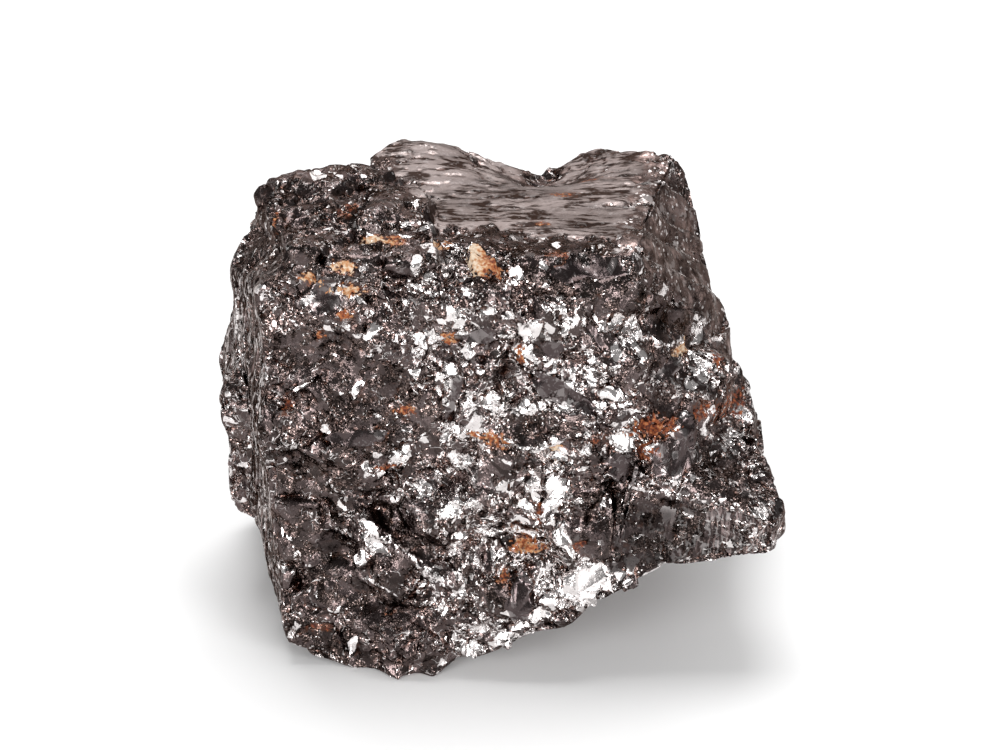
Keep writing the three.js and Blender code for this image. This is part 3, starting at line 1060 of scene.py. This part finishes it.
class Recipe:
    """The nodes of one material, and short ways to add and join them."""

    def __init__(self, name):
        self.material = bpy.data.materials.new(name)
        self.material.use_nodes = True
        self.tree = self.material.node_tree
        self.shader = self.tree.nodes["Principled BSDF"].inputs
        self.mm = self.node("ShaderNodeTexCoord", "Object").scaled(1 / MM)

    def feed(self, socket, value):
        """Links a term to a socket, or sets the socket to a plain value."""
        if isinstance(value, Term):
            self.tree.links.new(value.socket, socket)
        else:
            socket.default_value = value

    def node(self, kind, output, feeds=None, **settings):
        """Adds a node with its settings and inputs, and gives one of its outputs."""
        made = self.tree.nodes.new(kind)
        for name, value in settings.items():
            setattr(made, name, value)
        for key, value in (feeds or {}).items():
            self.feed(made.inputs[key], value)
        return Term(self, made.outputs[output])

    def maths(self, operation, a, b=0.0, clamp=False):
        """Sums, products and the like of numbers."""
        return self.node("ShaderNodeMath", 0, {0: a, 1: b}, operation=operation, use_clamp=clamp)

    def vector(self, operation, feeds):
        """Sums, products and the like of places and colours."""
        return self.node("ShaderNodeVectorMath", 0, feeds, operation=operation)

    def most(self, first, *others):
        """The largest of some numbers."""
        for other in others:
            first = self.maths("MAXIMUM", first, other)
        return first

    def mix(self, factor, a, b):
        """Colour a where the factor is 0 and colour b where it is 1."""
        return self.node("ShaderNodeMix", 2, {0: factor, 6: a, 7: b}, data_type="RGBA")

    def attribute(self, name):
        """A number that mark_surface stored on the mesh."""
        return self.node("ShaderNodeAttribute", "Fac", attribute_name=name)


def away_from_one(value, weight):
    """The value where the weight is 1, and 1 where the weight is 0."""
    return (value - 1.0) * weight + 1.0


def scratches(mm, bend):
    """Thin upright scratches, broken up by noise."""
    gaps = mm.stretched(1.0, 1.0, 0.4).noise(0.6, 3.0)
    return bend.stretched(1.0, 1.0, 0.16).rims(0.6).ramp(0.05, 0.14, 1.0, 0.0) * gaps.ramp(0.47, 0.55)


def seam_beads(made, seam):
    """Painted highlights: the bright beads along a raised seam."""
    middle = made.maths("ABSOLUTE", seam)
    lit_beads = (middle + made.mm.swing(0.35, 3.0, 1.8)).ramp(0.66, 0.76) * middle.ramp(0.1, 0.4)
    return lit_beads * seam.ramp(0.0, 0.3)


def crust_colours(made, finish):
    """Mottled crust, from cream through orange to dark rust."""
    shade = made.attribute("crust_shade") + made.mm.swing(0.3, 5.0, 1.7)
    tones = made.node("ShaderNodeValToRGB", "Color", {"Fac": shade})
    stops = tones.socket.node.color_ramp.elements
    stops[0].position = 0.05
    stops[0].color = tone(finish.cream)
    stops[1].position = 0.95
    stops[1].color = tone(finish.dark_rust)
    for place, crust_colour in ((0.35, finish.ochre), (0.58, finish.orange), (0.76, finish.rust)):
        stops.new(place).color = tone(crust_colour)
    return tones


def satin_sheen_colours(made, finish):
    """The satin top: a pale ground as painted sheen, long dark dashes as painted shade of its pits, and
    slow changes of painted sheen.
    """
    dashes = made.mm.stretched(0.25, 1.0, 1.0).noise(0.45, 6.0) + made.mm.swing(3.5, 3.0, 0.8)
    sheened_satin = made.mix(dashes.ramp(0.38, 0.52), tone(finish.satin_pit_shade), tone(finish.satin_sheen))
    sheen = made.mm.stretched(0.35, 1.0, 1.0).noise(3.5, 4.0)
    return sheened_satin.scaled(sheen.ramp(0.35, 0.6, 0.65, 1.1))


def shungite_material(finish):
    """Glassy black with painted glints, a satin top with painted sheen, painted shade in hollows and
    cracks, seams, scratches and crusts.
    """
    made = Recipe("glassy black shungite")
    mm = made.mm
    satin, glitter, ridge, quiet, dim = map(made.attribute, ("satin", "glitter", "ridge", "quiet", "dim"))
    hollow, upright, smooth, seam = map(made.attribute, ("hollow", "upright", "smooth", "seam"))
    spread = made.attribute("crust")
    loud = 1.0 - quiet
    hackle = smooth.ramp(0.1, 0.8, 1.0, 0.0)

    # Jagged places bend the cells, so that their borders are splintered. Each patch, a
    # few millimetres wide, has splinters in its own direction.
    jagged = mm.moved(mm.wobble(0.3, 3.0, 0.4))
    patch = jagged.cells(finish.patch_size / MM)
    turned = jagged.turned(patch)
    splinters = turned.stretched(1.0, 0.3, 1.0).cells(finish.splinter_size / MM)
    flakes = turned.stretched(1.0, 0.6, 1.0).cells(finish.flake_size / MM)
    chips = jagged.cells(finish.flat_size / MM)
    grain = mm.cells(finish.grain_size / MM)
    splinter_draw = splinters.parts()
    flake_draw = flakes.parts()

    # Some shards and chips are calm flats, and others are finely splintered.
    bowed = mm.moved(mm.wobble(1.5, 1.0, 0.7)).moved(mm.wobble(0.25, 2.0, 0.08))
    gentle = bowed.turned(patch)
    shard_draw = gentle.stretched(1.0, 0.32, 1.0).cells(finish.shard_size / MM).parts()
    flat_draw = gentle.stretched(1.0, 0.5, 1.0).cells(finish.flat_size / MM).parts()
    faced = made.attribute("flat").ramp(0.4, 0.6)
    flat = made.most(
        flat_draw["Red"].ramp(0.7, 0.71),
        shard_draw["Red"].ramp(0.8, 0.81),
        shard_draw["Green"].ramp(0.86, 0.87),
        faced,
    )
    wild = (1.0 - flat) * hackle * quiet.ramp(0.0, 1.0, 1.0, 0.6) * 0.9 + 0.1

    # Facets that flash, with splintered rims, painted bright below as highlight. They and the calm facets
    # lean less.
    flash = (made.attribute("flash") + mm.swing(0.35, 3.0, 0.9)).ramp(0.45, 0.52)
    steady = made.most(flash, faced).ramp(0.0, 1.0, 1.0, 0.3)
    lean = splinters.lean(wild * 0.9).moved(flakes.lean(wild * 0.7))
    lean = lean.moved(grain.lean(hackle * 0.3)).moved(chips.lean(hackle * 0.35))
    facing = made.node("ShaderNodeNewGeometry", "Normal")
    made.feed(made.shader["Normal"], made.vector("NORMALIZE", {0: facing.moved(lean.scaled(steady))}))

    # Painted glints: bright splinters, flakes and chips in the colour. The share of each grows
    # where the break glitters and on ridges, and falls in the hollows.
    patchy = mm.noise(1.6, 2.0).ramp(0.42, 0.62)
    glint_share = glitter * 0.5 + patchy * 0.22 + patchy * glitter * 0.9
    glint_share = glint_share * made.most(loud, glitter * 0.6) + ridge.ramp(0.05, 0.3, 0.0, 0.35)
    glint_share = glint_share * hollow.ramp(0.1, 0.6, 1.0, 0.1)

    def bright(draw, share, extra):
        """1 for the given share of cells, and for more of them where the glint share is high."""
        return made.maths("GREATER_THAN", draw["Green"], (1 - share) - glint_share * extra)

    bare = made.maths("SUBTRACT", hackle, faced * 0.8, clamp=True) * dim.ramp(0.1, 0.5, 1.0, 0.08)
    glint_and_scratch = made.most(
        bright(splinter_draw, 0.04, 0.17) * wild,
        bright(flake_draw, 0.01, 0.3) * wild,
        bright(shard_draw, 0.01, 0.3) * bare,
        bright(flat_draw, 0.01, 0.13) * bare,
        flash,
    )

    # Bright hairlines along the rims of plates, broken up by noise: pale chipped rims together
    # with painted highlight.
    bend = mm.moved(mm.wobble(1.2, 2.0, 1.6))
    for size, width, least in ((1.1, 0.035, 0.54), (2.6, 0.016, 0.5)):
        gaps = mm.moved((size, 0.0, 0.0)).noise(0.8, 2.0)
        hair = bend.rims(size).ramp(0.3 * width, width, 0.9, 0.0) * gaps.ramp(least, least + 0.1)
        glint_and_scratch = made.most(glint_and_scratch, hair * (bare * loud))
    glint_and_scratch = made.most(glint_and_scratch, scratches(mm, bend) * upright, seam_beads(made, seam))

    # Painted highlights: rows of small bright beads on the smooth places.
    rows = mm.stretched(0.3, 0.8, 1.0).noise(1.0, 3.0).ramp(0.51, 0.55)
    dots = mm.cells(0.5, "Distance").ramp(0.24, 0.34, 1.0, 0.0) * rows
    ledged = smooth.ramp(0.4, 0.6) * satin.ramp(0.3, 0.9, 1.0, 0.0)
    beaded = smooth.ramp(0.4, 0.6) * glitter.ramp(0.0, 0.5, 0.12, 0.8)
    glint_and_scratch = made.most(glint_and_scratch, dots * made.most(ledged, beaded))

    # Crusts with ragged edges, which keep to the low places.
    rag = mm.swing(0.4, 6.0, 2.2) * spread.ramp(0.0, 0.15)
    crust = spread - ridge * 0.7 + rag
    crusted = crust.ramp(0.42, 0.54)
    stained = crust.ramp(0.0, 0.4) * faced.ramp(0.0, 1.0, 0.5, 0.05)

    # The black itself: each flake and splinter has its own depth of black.
    dull = made.mix(flake_draw["Blue"], tone(finish.dark_black), tone(finish.light_black))
    deep = made.mix(0.5, dull, tone(finish.deep_black))
    dull = made.mix(splinter_draw["Blue"], deep, dull)
    # Darker in the quiet places; in the hollows among them this is painted shade.
    dull = made.mix(quiet * 0.7, dull, tone(finish.quiet_black))
    even = made.mix(flat_draw["Blue"], tone(finish.dark_flat), tone(finish.light_flat))
    dull = made.mix(flat * hackle * 0.85, dull, even)

    # Fine grit, painted highlights along the ledges, uneven chips, and upright streaks with
    # painted sheen.
    speck = grain.parts()["Red"].ramp(0.55, 1.0, 0.5, 2.9)
    dull = dull.scaled(away_from_one(speck, hackle * flat.ramp(0.0, 1.0, 1.0, 0.15)))
    ledge_highlight = mm.stretched(0.35, 0.9, 1.0).noise(1.6, 4.0).ramp(0.5, 0.62, 0.0, 1.8)
    dull = dull.scaled(ledge_highlight * ledged + 1.0)
    uneven = flat.ramp(0.0, 1.0, 1.0, 0.4)
    for draw in (chips.parts(), shard_draw):
        dull = dull.scaled(draw["Blue"].ramp(0.0, 1.0, -0.35, 0.32) * uneven + 1.0)
    # Upright streaks: the striations of the wall, with their bright bands as painted sheen.
    streak = mm.stretched(1.0, 1.0, 0.14).noise(0.25, 4.0).ramp(0.47, 0.66, 0.1, 9.5)
    dull = dull.scaled(away_from_one(streak, upright))
    # Painted shade: darker in the hollows.
    dull = dull.scaled(hollow.ramp(0.2, 0.8, 1.0, 0.5))
    dull = made.mix(faced * 0.9, dull, tone(finish.facet)).scaled(1.0 - dim)

    # Satin with painted sheen and pit shade, stain, and cracks with painted shade over the black,
    # then the painted glints, then the crusts.
    dull = made.mix(satin.ramp(0.4, 0.9) * loud, dull, satin_sheen_colours(made, finish))
    dull = made.mix(stained, dull, tone(finish.stain))
    dull = made.mix(seam.ramp(-0.6, -0.2, 1.0, 0.0) * 0.85, dull, tone(finish.crack))
    glint_and_scratch = glint_and_scratch * crust.ramp(0.2, 0.6, 1.0, 0.3)
    black = made.mix(glint_and_scratch * 0.9, dull, tone(finish.glint_and_scratch))
    made.shader["Specular Tint"].default_value = tone(finish.grazing)
    made.feed(made.shader["Base Color"], made.mix(crusted, black, crust_colours(made, finish)))
    made.feed(made.shader["Metallic"], 1.0 - crusted)
    rough = smooth.ramp(0.1, 0.9, finish.glassy_roughness, finish.satin_roughness)
    rough = rough + splinter_draw["Red"] * 0.12
    rough = made.maths("ADD", rough, crusted * finish.crust_roughness, clamp=True)
    made.feed(made.shader["Roughness"], rough)
    return made.material


def floor_material(stage):
    """Plain pale floor with broad, faint patches."""
    made = Recipe("pale floor")
    patches = made.mm.noise(40.0, 3.0)
    made.feed(made.shader["Base Color"], made.mix(patches, tone(stage.dark_floor), tone(stage.light_floor)))
    made.shader["Roughness"].default_value = FLOOR_ROUGHNESS
    return made.material


# ---- Stage ----


def build_floor(stage):
    """A wide pale floor under the stone."""
    mesh = bpy.data.meshes.new("floor")
    half = stage.floor_width / 2
    corners = [(-half, -half, 0), (half, -half, 0), (half, half, 0), (-half, half, 0)]
    mesh.from_pydata(corners, [], [(0, 1, 2, 3)])
    floor = bpy.data.objects.new("floor", mesh)
    bpy.context.scene.collection.objects.link(floor)
    mesh.materials.append(floor_material(stage))


def build_lights(stage):
    """A white room with four softboxes, all aimed at the middle of the stone."""
    world = bpy.data.worlds.new("white room")
    bpy.context.scene.world = world
    world.use_nodes = True
    background = world.node_tree.nodes["Background"]
    background.inputs["Color"].default_value = (1, 1, 1, 1)
    background.inputs["Strength"].default_value = stage.room
    for name, place, width, height, watts in SOFTBOXES:
        light = bpy.data.lights.new(name, "AREA")
        light.shape = "RECTANGLE"
        light.size = width
        light.size_y = height
        light.energy = getattr(stage, watts)
        lamp = bpy.data.objects.new(name, light)
        lamp.location = place
        aim = Vector(STONE_MIDDLE) - Vector(place)
        lamp.rotation_euler = aim.to_track_quat("-Z", "Y").to_euler()
        bpy.context.scene.collection.objects.link(lamp)


def build_camera(stage):
    """The camera, and the plain view that the colours are mixed for."""
    camera_data = bpy.data.cameras.new("camera")
    camera_data.lens = stage.lens
    camera_data.sensor_width = SENSOR_WIDTH
    camera_data.clip_start = CLIP_START
    camera = bpy.data.objects.new("camera", camera_data)
    camera.location = stage.camera_place
    camera.rotation_euler = (stage.camera_tilt, 0, 0)
    bpy.context.scene.collection.objects.link(camera)
    bpy.context.scene.camera = camera
    bpy.context.scene.view_settings.view_transform = "Standard"


# ---- Operators and panel ----


class SHUNGITE_OT_stone(bpy.types.Operator):
    """Break and finish the rough shungite stone"""

    bl_idname = "shungite.stone"
    bl_label = "Make the Stone"

    def execute(self, context):
        build_stone(context.scene.shungite_surface, context.scene.shungite_finish)
        return {"FINISHED"}


class SHUNGITE_OT_stage(bpy.types.Operator):
    """Set up the floor, the lights and the camera"""

    bl_idname = "shungite.stage"
    bl_label = "Set the Stage"

    def execute(self, context):
        build_floor(context.scene.shungite_stage)
        build_lights(context.scene.shungite_stage)
        build_camera(context.scene.shungite_stage)
        return {"FINISHED"}


class SHUNGITE_PT_sidebar(bpy.types.Panel):
    """Steps and values of the rough shungite stone"""

    bl_idname = "SHUNGITE_PT_sidebar"
    bl_label = "Rough Shungite Stone"
    bl_space_type = "VIEW_3D"
    bl_region_type = "UI"
    bl_category = "Shungite"

    def draw(self, context):
        scene = context.scene
        for operator, groups in (
            (SHUNGITE_OT_stone, (scene.shungite_surface, scene.shungite_finish)),
            (SHUNGITE_OT_stage, (scene.shungite_stage,)),
        ):
            box = self.layout.box()
            box.operator(operator.bl_idname)
            for group in groups:
                for name in group.__annotations__:
                    box.prop(group, name)


CLASSES = (
    ShungiteSurface,
    ShungiteFinish,
    ShungiteStage,
    SHUNGITE_OT_stone,
    SHUNGITE_OT_stage,
    SHUNGITE_PT_sidebar,
)


def register():
    """Registers the classes and gives every scene their values."""
    for kind in CLASSES:
        bpy.utils.register_class(kind)
    bpy.types.Scene.shungite_surface = PointerProperty(type=ShungiteSurface)
    bpy.types.Scene.shungite_finish = PointerProperty(type=ShungiteFinish)
    bpy.types.Scene.shungite_stage = PointerProperty(type=ShungiteStage)


def unregister():
    """Takes away what register gave."""
    del bpy.types.Scene.shungite_stage
    del bpy.types.Scene.shungite_finish
    del bpy.types.Scene.shungite_surface
    for kind in reversed(CLASSES):
        bpy.utils.unregister_class(kind)


def main():
    """Makes the stone and its stage."""
    register()
    bpy.ops.shungite.stone()
    bpy.ops.shungite.stage()


if __name__ == "__main__":
    main()
